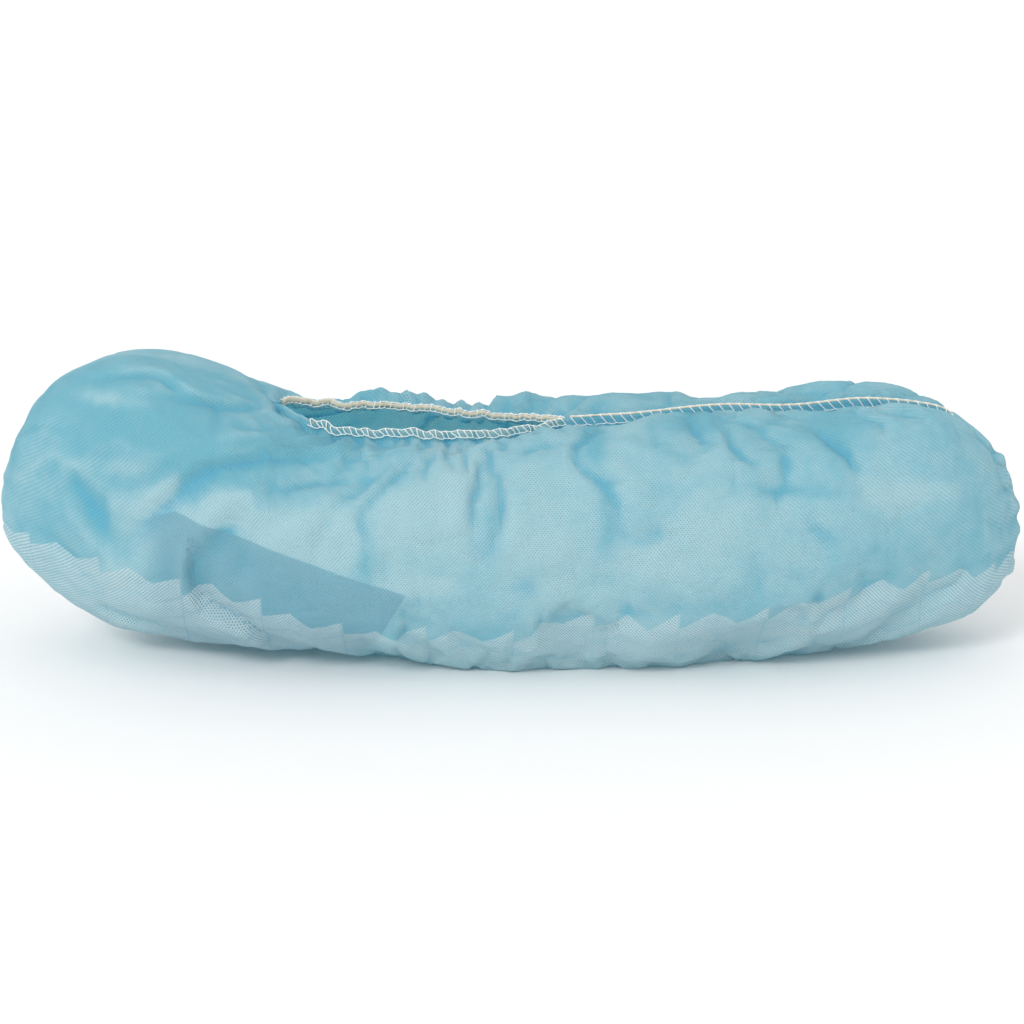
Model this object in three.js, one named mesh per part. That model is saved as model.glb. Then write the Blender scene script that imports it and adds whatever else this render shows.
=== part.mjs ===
// A disposable overshoe, puffed up as if a shoe were still inside it: one bag
// of thin nonwoven cloth, an elastic edge round the foot opening, and an
// overlocked seam along the top of the toe.
//
// Millimetres. +X runs from the heel to the toe, -Y is the near side and +Z is
// up. The origin is under the middle of the bag, on the surface it rests on.

import * as THREE from 'three';

// ---- driving dimensions -------------------------------------------------

const LENGTH = 400; // heel end to toe end
const END_BOW = 4; // how far each end bulges past its welded edge
const HEEL_HALF_WIDTH = 55;
const TOE_HALF_WIDTH = 61;
const WALL = 1.2; // cloth thickness
const GAP = 0.9; // clearance between the cloth and what stands on it

const SECTION_POWER = 2.4; // 2 is an ellipse, more is boxier
const PLAN_POWER = 3; // how blunt the ends are from above

const MOUTH_BACK = -93; // foot opening, rear tip
const MOUTH_FRONT = 21; // foot opening, front tip
const MOUTH_HALF_WIDTH = 21;
const MOUTH_SKEW = 0.35; // the opening is wider towards the heel
const MOUTH_TIP_POWER = 1.3; // 1 has round tips, more has pointed ones
const TROUGH_WIDTH = 14; // reach of the dip beside the rim and the seam

const EDGE_HEIGHT = 3.2; // overlocked edge, standing up
const EDGE_WIDTH = 1.6;
const SEAM_FRONT = 176; // where the toe seam ends
const SEAM_CLEARANCE = 4.5; // from the front tip of the opening

const HEEL_CELLS = 16; // mesh cells along each stretch of the bag
const MOUTH_CELLS = 16;
const TOE_CELLS = 24;
const GIRTH_CELLS = 36; // mesh cells round the bag
const END_GRADING = 1.4; // how much closer together the cells are at the ends
const GIRTH_GRADING = 0.09; // and beside the rim and the seam
const EDGE_CELLS = 72;
const SEAM_CELLS = 40;

const END_X = LENGTH / 2 - END_BOW; // the welded edge of each end

// Side outline as [x, height], from the heel to the toe.
const CREST = [
  [-196, 74], [-184, 97], [-168, 109], [-145, 116], [-113, 110], [-84, 102], [-44, 102],
  [0, 97], [40, 98], [80, 102], [110, 102], [140, 105], [165, 100], [180, 89], [196, 70],
];
// Below zero, the bag is flattened by the surface it rests on.
const KEEL = [
  [-196, 40], [-176, 22], [-145, 9], [-110, 5], [-80, 2], [-45, -3], [10, -7], [60, -5],
  [110, 0], [150, 6], [176, 13], [196, 28],
];
// How far the rim and the toe seam are drawn down below the crest.
const SINK = [
  [-125, 0], [-93, 6], [-60, 10], [-20, 10], [21, 8], [60, 8], [110, 8], [150, 8], [176, 4],
  [192, 0],
];

// Main folds. A path is [x, height] along one side, and depth is positive for
// a ridge and negative for a valley.
const NEAR = -1;
const FAR = 1;
const FOLDS = [
  { side: NEAR, depth: -3.5, width: 8, path: [[-61, 92], [-101, 86], [-127, 72], [-139, 62]] },
  { side: NEAR, depth: -3, width: 7, path: [[-61, 83], [-87, 76], [-101, 70], [-117, 57]] },
  { side: NEAR, depth: 2, width: 8, path: [[-173, 75], [-149, 91], [-134, 87], [-109, 93], [-76, 96]] },
  { side: NEAR, depth: -4, width: 8, path: [[-101, 64], [-117, 55], [-121, 43], [-116, 28], [-92, 11]] },
  { side: NEAR, depth: -3, width: 7, path: [[-158, 21], [-137, 14]] },
  { side: NEAR, depth: -2.5, width: 7, path: [[-164, 110], [-137, 113], [-119, 107]] },
  { side: NEAR, depth: -2, width: 8, path: [[-46, 81], [-56, 69], [-54, 55]] },
  { side: NEAR, depth: -3, width: 8, path: [[-8, 89], [-10, 72], [-12, 52]] },
  { side: NEAR, depth: -3, width: 8, path: [[31, 94], [24, 86], [35, 77], [39, 62], [58, 62]] },
  { side: NEAR, depth: -2, width: 8, path: [[3, 23], [32, 25], [72, 33], [89, 35]] },
  { side: NEAR, depth: 2, width: 8, path: [[139, 86], [158, 80], [170, 64], [188, 45]] },
  { side: NEAR, depth: 2, width: 9, path: [[150, 57], [110, 45]] },
  { side: FAR, depth: 3.5, width: 12, path: [[-62, 98], [-38, 98]] },
  { side: FAR, depth: -3.5, width: 8, path: [[-60, 84], [-96, 74], [-128, 56], [-140, 38]] },
  { side: FAR, depth: 2, width: 8, path: [[-168, 74], [-140, 88], [-100, 92]] },
  { side: FAR, depth: -3, width: 8, path: [[-30, 86], [-42, 68], [-40, 44]] },
  { side: FAR, depth: -3, width: 8, path: [[6, 86], [0, 66], [10, 42]] },
  { side: FAR, depth: -3, width: 8, path: [[44, 88], [52, 72], [44, 56], [66, 48]] },
  { side: FAR, depth: -2, width: 8, path: [[-60, 22], [-10, 20], [50, 22], [96, 32]] },
  { side: FAR, depth: 2, width: 8, path: [[120, 80], [150, 68], [180, 54]] },
];
const FOLD_RIM_FADE = 12; // folds die out this close to the rim

// ---- outline helpers ----------------------------------------------------

// A smooth function through [x, value] stations.
function profile(stations) {
  const last = stations.length - 1;
  const slopes = stations.map((_, i) => {
    const before = stations[Math.max(i - 1, 0)];
    const after = stations[Math.min(i + 1, last)];
    return (after[1] - before[1]) / (after[0] - before[0]);
  });
  return (x) => {
    if (x <= stations[0][0]) return stations[0][1];
    if (x >= stations[last][0]) return stations[last][1];
    const i = stations.findIndex(([right]) => right >= x) - 1;
    const span = stations[i + 1][0] - stations[i][0];
    const s = (x - stations[i][0]) / span;
    const ease = s * s * (3 - 2 * s);
    const level = stations[i][1] * (1 - ease) + stations[i + 1][1] * ease;
    const lift = slopes[i] * (1 - s) - slopes[i + 1] * s;
    return level + s * (1 - s) * span * lift;
  };
}

const crest = profile(CREST);
const keel = profile(KEEL);
const sink = profile(SINK);

const signedPower = (value, power) => Math.sign(value) * Math.abs(value) ** power;

function halfWidth(x) {
  const along = (x + END_X) / (2 * END_X);
  const fullness = Math.sqrt(Math.max(1 - Math.abs(x / END_X) ** PLAN_POWER, 0));
  return THREE.MathUtils.lerp(HEEL_HALF_WIDTH, TOE_HALF_WIDTH, along) * fullness;
}

function mouthHalfWidth(x) {
  if (x <= MOUTH_BACK || x >= MOUTH_FRONT) return 0;
  const turn = Math.acos(1 - 2 * (x - MOUTH_BACK) / (MOUTH_FRONT - MOUTH_BACK));
  const skew = 1 + MOUTH_SKEW * Math.cos(turn);
  return MOUTH_HALF_WIDTH * Math.sin(turn) ** MOUTH_TIP_POWER * skew;
}

// The dip that the rim and the seam make in the top of the bag.
function troughDepth(x, y) {
  const fromRim = Math.max(Math.abs(y) - mouthHalfWidth(x), 0);
  return sink(x) * Math.exp(-((fromRim / TROUGH_WIDTH) ** 2));
}

// Height of the unfolded bag's upper surface.
function topHeight(x, y) {
  const middle = (crest(x) + keel(x)) / 2;
  const across = Math.min(Math.abs(y) / Math.max(halfWidth(x), 1), 1);
  const rise = (1 - across ** SECTION_POWER) ** (1 / SECTION_POWER);
  return middle + (crest(x) - middle) * rise - troughDepth(x, y);
}

// A point on the unfolded bag's side, at a given length and height.
function sidePoint(x, z, side) {
  const middle = (crest(x) + keel(x)) / 2;
  const level = Math.min(Math.abs(z - middle) / (crest(x) - middle), 1);
  const bulge = (1 - level ** SECTION_POWER) ** (1 / SECTION_POWER);
  return new THREE.Vector3(x, side * halfWidth(x) * bulge, z);
}

// ---- the bag's surface --------------------------------------------------

const foldLines = FOLDS.map(({ side, depth, width, path }) => {
  const points = path.map(([x, z]) => sidePoint(x, z, side));
  const segments = points.slice(1).map((end, i) => new THREE.Line3(points[i], end));
  return { depth, width, segments };
});

// How far all the folds together move a point outwards.
function foldOffset(point) {
  const nearest = new THREE.Vector3();
  let total = 0;
  for (const { depth, width, segments } of foldLines) {
    let distance = Infinity;
    for (const segment of segments) {
      segment.closestPointToPoint(point, true, nearest);
      distance = Math.min(distance, nearest.distanceTo(point));
    }
    total += depth * Math.exp(-((distance / width) ** 2));
  }
  return total;
}

// One point of the outer surface. The angle is 0 at the top, a quarter turn
// on the near side, and half a turn at the bottom.
function bagPoint(x, angle) {
  const middle = (crest(x) + keel(x)) / 2;
  const half = crest(x) - middle;
  const width = halfWidth(x);
  const across = -signedPower(Math.sin(angle), 2 / SECTION_POWER);
  const level = signedPower(Math.cos(angle), 2 / SECTION_POWER);
  const bow = Math.sign(x) * END_BOW * (1 - level ** 2) * Math.abs(x / END_X) ** 12;
  const point = new THREE.Vector3(x, across * width, middle + level * half);

  const outward = new THREE.Vector3(
    0,
    signedPower(across, SECTION_POWER - 1) / Math.max(width, 1),
    signedPower(level, SECTION_POWER - 1) / half,
  ).normalize();
  const fromRim = Math.max(Math.abs(point.y) - mouthHalfWidth(x), 0);
  const isTop = level > 0;
  const fade = isTop ? THREE.MathUtils.smoothstep(fromRim, 0, FOLD_RIM_FADE) : 1;
  point.addScaledVector(outward, foldOffset(point) * fade);

  if (isTop) point.z -= troughDepth(x, across * width);
  point.x += bow;
  point.z = Math.max(point.z, 0);
  return point;
}

// Stations along the bag, closer together towards both ends.
function stationList() {
  const list = [];
  for (let i = 0; i < HEEL_CELLS; i += 1) {
    const fromEnd = (i / HEEL_CELLS) ** END_GRADING;
    list.push(THREE.MathUtils.lerp(-END_X, MOUTH_BACK, fromEnd));
  }
  for (let i = 0; i < MOUTH_CELLS; i += 1) {
    const even = i / MOUTH_CELLS;
    const gathered = (1 - Math.cos(Math.PI * even)) / 2;
    list.push(THREE.MathUtils.lerp(MOUTH_BACK, MOUTH_FRONT, (even + gathered) / 2));
  }
  for (let i = 0; i <= TOE_CELLS; i += 1) {
    const fromEnd = (1 - i / TOE_CELLS) ** END_GRADING;
    list.push(THREE.MathUtils.lerp(END_X, MOUTH_FRONT, fromEnd));
  }
  return list;
}

function makeMesh(name, positions, triangles, material) {
  const geometry = new THREE.BufferGeometry();
  geometry.setAttribute('position', new THREE.Float32BufferAttribute(positions, 3));
  geometry.setIndex(triangles);
  geometry.computeVertexNormals();
  const mesh = new THREE.Mesh(geometry, material);
  mesh.name = name;
  return mesh;
}

// The cloth bag: an outer and an inner skin, joined round the foot opening.
function coverBag(material) {
  const stations = stationList();
  const lastStation = stations.length - 1;
  const isOpen = (i) => i > HEEL_CELLS && i < HEEL_CELLS + MOUTH_CELLS;

  // Vertex numbers. The two sides share their points along each end and,
  // away from the opening, along the top.
  const numbers = new Map();
  const outer = [];
  const vertex = (i, j) => {
    let ring = j;
    if (i === 0 || i === lastStation) ring = Math.min(j, GIRTH_CELLS - j);
    else if (!isOpen(i) && j === GIRTH_CELLS) ring = 0;
    const key = i * (GIRTH_CELLS + 1) + ring;
    if (!numbers.has(key)) {
      const x = stations[i];
      const ratio = mouthHalfWidth(x) / Math.max(halfWidth(x), 1);
      const start = Math.asin(ratio ** (SECTION_POWER / 2));
      const even = ring / GIRTH_CELLS;
      const graded = even - GIRTH_GRADING * Math.sin(2 * Math.PI * even);
      const angle = start + (2 * Math.PI - 2 * start) * graded;
      numbers.set(key, outer.length);
      outer.push(bagPoint(x, angle));
    }
    return numbers.get(key);
  };

  const skin = [];
  for (let i = 0; i < lastStation; i += 1) {
    for (let j = 0; j < GIRTH_CELLS; j += 1) {
      const a = vertex(i, j);
      const b = vertex(i + 1, j);
      const c = vertex(i + 1, j + 1);
      const d = vertex(i, j + 1);
      skin.push(a, c, b, a, d, c);
    }
  }

  const normals = makeMesh('skin', outer.flatMap((p) => p.toArray()), skin, material)
    .geometry.getAttribute('normal');
  const inner = outer.map((p, n) => new THREE.Vector3()
    .fromBufferAttribute(normals, n).multiplyScalar(-WALL).add(p));

  const count = outer.length;
  const triangles = [...skin];
  for (let n = 0; n < skin.length; n += 3) {
    triangles.push(skin[n] + count, skin[n + 2] + count, skin[n + 1] + count);
  }
  for (let i = HEEL_CELLS; i < HEEL_CELLS + MOUTH_CELLS; i += 1) {
    const near = [vertex(i, 0), vertex(i + 1, 0)];
    const far = [vertex(i + 1, GIRTH_CELLS), vertex(i, GIRTH_CELLS)];
    for (const [from, to] of [near, far]) {
      triangles.push(from, to, to + count, from, to + count, from + count);
    }
  }
  const positions = [...outer, ...inner].flatMap((p) => p.toArray());
  return makeMesh('cover_bag', positions, triangles, material);
}

// ---- overlocked edges ---------------------------------------------------

// An upright strip along a line. Each station gives a foot point and the
// level direction across the strip.
function strip(name, feet, closed, material) {
  const positions = [];
  for (const { foot, across } of feet) {
    for (const [side, up] of [[-1, 0], [1, 0], [1, 1], [-1, 1]]) {
      const corner = foot.clone().addScaledVector(across, (side * EDGE_WIDTH) / 2);
      corner.z += up * EDGE_HEIGHT;
      positions.push(...corner.toArray());
    }
  }
  const triangles = [];
  const steps = closed ? feet.length : feet.length - 1;
  for (let i = 0; i < steps; i += 1) {
    const next = (i + 1) % feet.length;
    for (let k = 0; k < 4; k += 1) {
      const a = i * 4 + k;
      const b = i * 4 + ((k + 1) % 4);
      const c = next * 4 + ((k + 1) % 4);
      const d = next * 4 + k;
      triangles.push(a, b, c, a, c, d);
    }
  }
  if (!closed) {
    const end = (feet.length - 1) * 4;
    triangles.push(0, 2, 1, 0, 3, 2, end, end + 1, end + 2, end, end + 2, end + 3);
  }
  return makeMesh(name, positions, triangles, material);
}

// The elastic edge stands on the cloth all round the foot opening.
function elasticRim(material) {
  const middle = (MOUTH_BACK + MOUTH_FRONT) / 2;
  const reach = (MOUTH_FRONT - MOUTH_BACK) / 2;
  const plan = [];
  for (let i = 0; i < EDGE_CELLS; i += 1) {
    const turn = (2 * Math.PI * i) / EDGE_CELLS;
    const side = Math.sign(Math.sin(turn));
    const x = middle - reach * Math.cos(turn);
    const spread = Math.abs(Math.sin(turn)) * EDGE_WIDTH;
    plan.push(new THREE.Vector2(
      x - 2 * EDGE_WIDTH * Math.cos(turn),
      -side * (mouthHalfWidth(x) + spread),
    ));
  }
  const feet = plan.map((point, i) => {
    const next = plan[(i + 1) % EDGE_CELLS];
    const previous = plan[(i + EDGE_CELLS - 1) % EDGE_CELLS];
    const along = next.clone().sub(previous).normalize();
    const across = new THREE.Vector3(-along.y, along.x, 0);
    const heights = [-1, 0, 1].map((side) => {
      const x = point.x + (side * across.x * EDGE_WIDTH) / 2;
      const y = point.y + (side * across.y * EDGE_WIDTH) / 2;
      return topHeight(x, Math.sign(y) * Math.max(Math.abs(y), mouthHalfWidth(x)));
    });
    return { foot: new THREE.Vector3(point.x, point.y, Math.max(...heights) + GAP), across };
  });
  return strip('elastic_rim', feet, true, material);
}

// The toe seam is a ridge along the middle of the top, from the front tip of
// the opening to the nose of the toe.
function toeSeam(material) {
  const start = MOUTH_FRONT + SEAM_CLEARANCE;
  const feet = [];
  for (let i = 0; i <= SEAM_CELLS; i += 1) {
    const x = THREE.MathUtils.lerp(start, SEAM_FRONT, i / SEAM_CELLS);
    feet.push({
      foot: new THREE.Vector3(x, 0, topHeight(x, 0) + GAP),
      across: new THREE.Vector3(0, 1, 0),
    });
  }
  return strip('toe_seam', feet, false, material);
}

// ---- assembly -----------------------------------------------------------

const cloth = new THREE.MeshStandardMaterial({ color: 0x9fd3e6, roughness: 0.85, metalness: 0 });
const elastic = new THREE.MeshStandardMaterial({ color: 0xe9e2cf, roughness: 0.8, metalness: 0 });
const thread = new THREE.MeshStandardMaterial({ color: 0xf2efe6, roughness: 0.7, metalness: 0 });

const shoeCover = new THREE.Group();
shoeCover.add(coverBag(cloth), elasticRim(elastic), toeSeam(thread));

export default shoeCover;
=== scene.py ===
"""A disposable overshoe of thin nonwoven cloth, with an elastic edge round the
foot opening and an overlocked seam along the toe, built round its frame."""

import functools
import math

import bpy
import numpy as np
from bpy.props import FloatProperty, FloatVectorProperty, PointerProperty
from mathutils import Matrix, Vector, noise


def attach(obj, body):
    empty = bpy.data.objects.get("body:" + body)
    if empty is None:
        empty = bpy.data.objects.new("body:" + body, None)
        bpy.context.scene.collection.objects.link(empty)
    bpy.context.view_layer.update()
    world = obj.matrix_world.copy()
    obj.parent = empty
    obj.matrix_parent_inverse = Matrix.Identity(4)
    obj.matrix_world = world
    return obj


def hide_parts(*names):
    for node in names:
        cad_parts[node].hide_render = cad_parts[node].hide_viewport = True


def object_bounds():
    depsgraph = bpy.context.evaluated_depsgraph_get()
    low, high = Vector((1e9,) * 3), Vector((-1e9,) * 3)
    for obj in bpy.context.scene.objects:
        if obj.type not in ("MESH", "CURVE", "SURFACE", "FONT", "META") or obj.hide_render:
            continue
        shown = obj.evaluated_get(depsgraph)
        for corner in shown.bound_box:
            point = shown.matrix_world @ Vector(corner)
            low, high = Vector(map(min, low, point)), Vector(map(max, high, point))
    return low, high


bl_info = {
    "name": "Disposable Overshoe",
    "version": (1, 0, 0),
    "blender": (4, 5, 0),
    "location": "3D View > Sidebar > Overshoe",
    "description": "Makes a puffed nonwoven overshoe, its elastic edge and its overlocked seam",
    "category": "Add Mesh",
}

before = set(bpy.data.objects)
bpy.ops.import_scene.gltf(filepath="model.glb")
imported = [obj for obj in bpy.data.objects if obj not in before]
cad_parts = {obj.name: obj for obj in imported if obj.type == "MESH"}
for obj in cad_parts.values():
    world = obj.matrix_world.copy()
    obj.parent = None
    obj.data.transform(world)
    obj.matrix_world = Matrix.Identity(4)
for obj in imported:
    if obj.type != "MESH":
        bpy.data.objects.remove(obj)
CAD_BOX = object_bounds()

DESIGN_LENGTH = 400.0
MM = (CAD_BOX[1].x - CAD_BOX[0].x) / DESIGN_LENGTH  # a millimetre of the design, in metres


# ---- the bag's outline, in millimetres ------------------------------------

END_BOW = 4.0  # how far each end bulges past its welded edge
END_X = DESIGN_LENGTH / 2 - END_BOW
HEEL_HALF_WIDTH = 55.0
TOE_HALF_WIDTH = 61.0
SECTION_POWER = 2.4  # 2 is an ellipse, more is boxier
PLAN_POWER = 3.0

MOUTH_BACK = -93.0
MOUTH_FRONT = 21.0
MOUTH_HALF_WIDTH = 21.0
MOUTH_SKEW = 0.35
MOUTH_TIP_POWER = 1.3
SEAM_FRONT = 176.0
TROUGH_WIDTH = 14.0

CREST = [
    (-196, 74), (-184, 97), (-168, 109), (-145, 116), (-113, 110), (-84, 102), (-44, 102),
    (0, 97), (40, 98), (80, 102), (110, 102), (140, 105), (165, 100), (180, 89), (196, 70),
]
KEEL = [
    (-196, 40), (-176, 22), (-145, 9), (-110, 5), (-80, 2), (-45, -3), (10, -7), (60, -5),
    (110, 0), (150, 6), (176, 13), (196, 28),
]
SINK = [
    (-125, 0), (-93, 6), (-60, 10), (-20, 10), (21, 8), (60, 8), (110, 8), (150, 8), (176, 4),
    (192, 0),
]

# The stitched edge stands up from the cloth, two plies side by side at the toe.
EDGE_HEIGHT = 3.4
EDGE_COLUMNS = 3
EDGE_RAMP = 6.0
PLY_GAP = 0.45
TUCKED = 15.0  # length of the rim's near back end that lies hidden under its fold

HEEL_CELLS = 80
MOUTH_CELLS = 90
TOE_CELLS = 130
GIRTH_CELLS = 160
END_GRADING = 1.4
GIRTH_GRADING = 0.08
NEAR, FAR = -1, 1

# Folds, as (kind, side, depth, width, [(x, height), ...]). A lip hangs over the cloth
# below it, a valley has a steep side and a soft one, and a crease is a thin groove.
FOLDS = [
    ("lip", NEAR, 2.6, 3.5, [(-96, 104), (-119, 107), (-137, 113), (-164, 110)]),
    ("valley", NEAR, 1.0, 4.0, [(-100, 103), (-126, 107), (-157, 106)]),
    ("ridge", NEAR, 3.0, 3.6, [(-173, 75), (-149, 91), (-134, 87), (-109, 93), (-76, 96)]),
    ("ridge", NEAR, 3.0, 3.0, [(-186, 74), (-172, 84), (-160, 80), (-148, 70), (-150, 58)]),
    ("valley", NEAR, 4.6, 5.0, [(-56, 92), (-80, 89), (-101, 86), (-117, 81), (-127, 72), (-139, 62)]),
    ("valley", NEAR, 3.4, 4.0, [(-56, 84), (-72, 81), (-87, 76), (-101, 70), (-117, 57)]),
    ("lip", NEAR, 5.0, 5.0, [(-101, 66), (-117, 55), (-121, 43), (-116, 28), (-102, 21), (-92, 9)]),
    ("valley", NEAR, 2.0, 3.5, [(-124, 37), (-110, 27), (-98, 19)]),
    ("lip", NEAR, 3.5, 4.0, [(-160, 23), (-148, 17), (-136, 13)]),
    ("valley", NEAR, 1.5, 3.0, [(-99, 74), (-75, 81), (-47, 89)]),
    ("valley", NEAR, 2.2, 3.5, [(-40, 87), (-46, 81), (-56, 69), (-54, 55)]),
    ("crease", NEAR, 1.4, 2.2, [(-29, 92), (-34, 84)]),
    ("crease", NEAR, 1.5, 2.8, [(-9, 88), (-14, 72), (-12, 50)]),
    ("crease", NEAR, 1.7, 2.8, [(-6, 90), (-3, 74), (-5, 65), (-12, 50)]),
    ("valley", NEAR, 2.8, 2.2, [(30, 96), (23, 87), (34, 77), (39, 69), (40, 61)]),
    ("crease", NEAR, 1.2, 2.0, [(39, 63), (47, 59), (59, 63)]),
    ("crease", NEAR, 1.6, 2.4, [(-62, 88), (-84, 80), (-108, 76), (-120, 70)]),
    ("crease", NEAR, 1.4, 2.4, [(-66, 80), (-84, 70), (-98, 56), (-104, 42)]),
    ("crease", NEAR, 1.2, 2.2, [(-52, 84), (-66, 70), (-74, 52)]),
    ("crease", NEAR, 1.2, 2.2, [(80, 99), (84, 90), (92, 86)]),
    ("crease", NEAR, 1.0, 2.2, [(52, 97), (54, 88)]),
    ("ridge", NEAR, 2.2, 3.0, [(-178, 66), (-164, 62), (-150, 46), (-146, 32)]),
    ("crease", NEAR, 1.3, 2.6, [(-186, 58), (-168, 46), (-156, 30)]),
    ("crease", NEAR, 1.6, 2.6, [(-164, 84), (-161, 70), (-152, 56)]),
    ("crease", NEAR, 1.4, 2.2, [(0, 85), (9, 89), (27, 91)]),
    ("crease", NEAR, 0.9, 2.0, [(-41, 43), (-29, 45), (-9, 42), (7, 42), (20, 46), (29, 42)]),
    ("ridge", NEAR, 1.6, 3.0, [(59, 60), (52, 49), (45, 37)]),
    ("valley", NEAR, 1.6, 3.0, [(3, 23), (32, 25), (55, 29), (72, 33), (89, 35), (112, 42)]),
    ("crease", NEAR, 1.4, 2.4, [(67, 100), (71, 93)]),
    ("ridge", NEAR, 1.8, 2.6, [(35, 92), (57, 87), (64, 82), (76, 83)]),
    ("crease", NEAR, 1.2, 2.4, [(82, 80), (92, 78), (105, 77), (127, 80)]),
    ("crease", NEAR, 1.4, 2.6, [(115, 98), (122, 92), (131, 82)]),
    ("crease", NEAR, 1.1, 2.4, [(102, 72), (110, 66), (118, 56)]),
    ("ridge", NEAR, 1.6, 2.6, [(60, 59), (78, 60), (96, 58), (118, 56)]),
    ("crease", NEAR, 1.2, 2.0, [(91, 58), (90, 50), (93, 43)]),
    ("ridge", NEAR, 2.0, 6.0, [(152, 58), (130, 52), (108, 44)]),
    ("ridge", NEAR, 1.4, 5.0, [(139, 86), (158, 80), (170, 64), (188, 45)]),
    ("lip", FAR, 2.2, 3.5, [(-98, 103), (-124, 104), (-150, 104)]),
    ("valley", FAR, 3.6, 5.0, [(-58, 88), (-82, 84), (-108, 72), (-130, 54)]),
    ("valley", FAR, 2.4, 4.0, [(-54, 80), (-78, 70), (-96, 52)]),
    ("ridge", FAR, 1.8, 5.0, [(-170, 72), (-146, 86), (-110, 92)]),
    ("lip", FAR, 3.6, 5.0, [(-84, 58), (-98, 44), (-96, 26), (-80, 12)]),
    ("ridge", FAR, 9.0, 12.0, [(-66, 95), (-50, 98), (-34, 96)]),
    ("ridge", FAR, 4.0, 6.0, [(-82, 98), (-76, 99), (-70, 98)]),
    ("ridge", FAR, 4.0, 9.0, [(-6, 91), (2, 92), (12, 91)]),
    ("valley", FAR, 2.4, 3.5, [(-30, 88), (-38, 72), (-34, 52)]),
    ("crease", FAR, 2.2, 2.6, [(2, 90), (-3, 70), (6, 48)]),
    ("valley", FAR, 2.8, 3.6, [(36, 94), (44, 80), (38, 66), (54, 54)]),
    ("crease", FAR, 1.2, 2.4, [(-44, 36), (-10, 40), (24, 36), (48, 40)]),
    ("valley", FAR, 1.6, 4.0, [(10, 20), (50, 24), (92, 32)]),
    ("crease", FAR, 1.4, 2.6, [(84, 96), (92, 82), (84, 70)]),
    ("ridge", FAR, 1.4, 4.0, [(100, 66), (128, 70), (150, 62)]),
    ("ridge", FAR, 1.4, 5.0, [(132, 88), (158, 78), (180, 56)]),
]
FOLD_SAMPLES = 28
LIP_EDGE = 1.8  # half the width over which a lip's edge turns under

# Painted highlights on the near side, and painted shade (deeper blue) where the strength is below 0:
# (x, height, reach along, reach up, strength).
PAINTED_LIGHT_AND_SHADE_PLACES = [
    (-150, 100, 50, 24, -0.24), (20, 60, 90, 32, 0.2), (120, 70, 60, 30, 0.06),
    (-152, 107, 15, 3, 0.4), (-140, 60, 9, 14, 0.3), (-107, 71, 10, 6, 0.6), (-94, 62, 8, 6, 0.5),
    (-130, 70, 9, 7, 0.5), (-73, 60, 13, 8, 0.7), (-42, 66, 8, 12, 0.35), (-24, 72, 7, 10, 0.25),
    (56, 52, 6, 5, 0.35), (152, 74, 14, 4, 0.2), (-150, 40, 8, 6, 0.2), (-35, 42, 12, 3, 0.35),
    (-150, 84, 16, 3, 0.25), (-113, 86, 14, 5, -0.4), (-79, 90, 20, 4, -0.4), (-55, 52, 4, 12, -0.25),
    (36, 66, 4, 12, -0.25), (31, 92, 4, 7, -0.4), (71, 99, 9, 4, -0.4), (122, 93, 8, 8, -0.2),
    (-8, 64, 4, 14, -0.2), (104, 76, 16, 2, -0.2),
]

# Waves that the elastic gathers into the cloth: (pitch, depth, reach).
GATHERS = [(5.6, 0.6, 5.0), (9.0, 1.1, 11.0), (15.0, 1.3, 22.0), (27.0, 1.6, 42.0)]

FAR_RIM_CALM = 0.6  # how much of the two finest waves the far side keeps
SEAM_SHARE = 0.55  # how much of the waves the toe seam gathers, compared with the elastic
SEAM_REACH = 14.0
CALM_REACH = 14.0  # from the edges, how far folds and waves take to grow to their full depth

# Broad unevenness of the cloth: (depth, size) of two noises, then of its crumpled facets.
WAVES = [(1.1, 34), (0.5, 15)]
FACET_SIZE = 30
FACET_CREASE = 0.4
FACET_RISE = 0.5

# The welds at both ends: ripples that fade away from them, and a shallow groove.
TOE_RIPPLE = 0.9
HEEL_RIPPLE = 0.3
RIPPLE_REACH = 9.0
WELD_DEPTH = 1.5
NOISE_SEED = 4

# How the cloth buckles: a little too much of it, softly blown up. The cloth solver works
# best on big things, so the bag is scaled up for it.
GROWTH = 0.065
PUFF = 0.08
BUCKLE_FRAMES = 36
BUCKLE_SCALE = 10.0
BUCKLE_LIMIT = 5.0  # how far a point may move
BULGE_LIMIT = 2.2  # how far a point may move outwards
CLOTH_SETTINGS = {
    "quality": 5, "mass": 0.15, "tension_stiffness": 25, "compression_stiffness": 25,
    "shear_stiffness": 12, "bending_stiffness": 0.08, "shrink_min": -GROWTH,
    "use_pressure": True, "uniform_pressure_force": PUFF,
}


def profile(stations, x):
    """A smooth curve through (x, value) stations."""
    knots, values = np.array(stations, float).T
    before = np.maximum(np.arange(len(knots)) - 1, 0)
    after = np.minimum(np.arange(len(knots)) + 1, len(knots) - 1)
    slopes = (values[after] - values[before]) / (knots[after] - knots[before])
    x = np.clip(x, knots[0], knots[-1])
    left = np.clip(np.searchsorted(knots, x) - 1, 0, len(knots) - 2)
    span = knots[left + 1] - knots[left]
    s = (x - knots[left]) / span
    ease = s * s * (3 - 2 * s)
    level = values[left] * (1 - ease) + values[left + 1] * ease
    return level + s * (1 - s) * span * (slopes[left] * (1 - s) - slopes[left + 1] * s)


def smooth(value, low, high):
    """0 below low, 1 above high, and a soft step between."""
    s = np.clip((value - low) / (high - low), 0, 1)
    return s * s * (3 - 2 * s)


def signed_power(value, power):
    """A power that keeps the value's sign."""
    return np.sign(value) * np.abs(value) ** power


def half_width(x):
    """Half the bag's width at a place along it."""
    along = (x + END_X) / (2 * END_X)
    fullness = np.sqrt(np.maximum(1 - np.abs(x / END_X) ** PLAN_POWER, 0))
    return (HEEL_HALF_WIDTH * (1 - along) + TOE_HALF_WIDTH * along) * fullness


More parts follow.
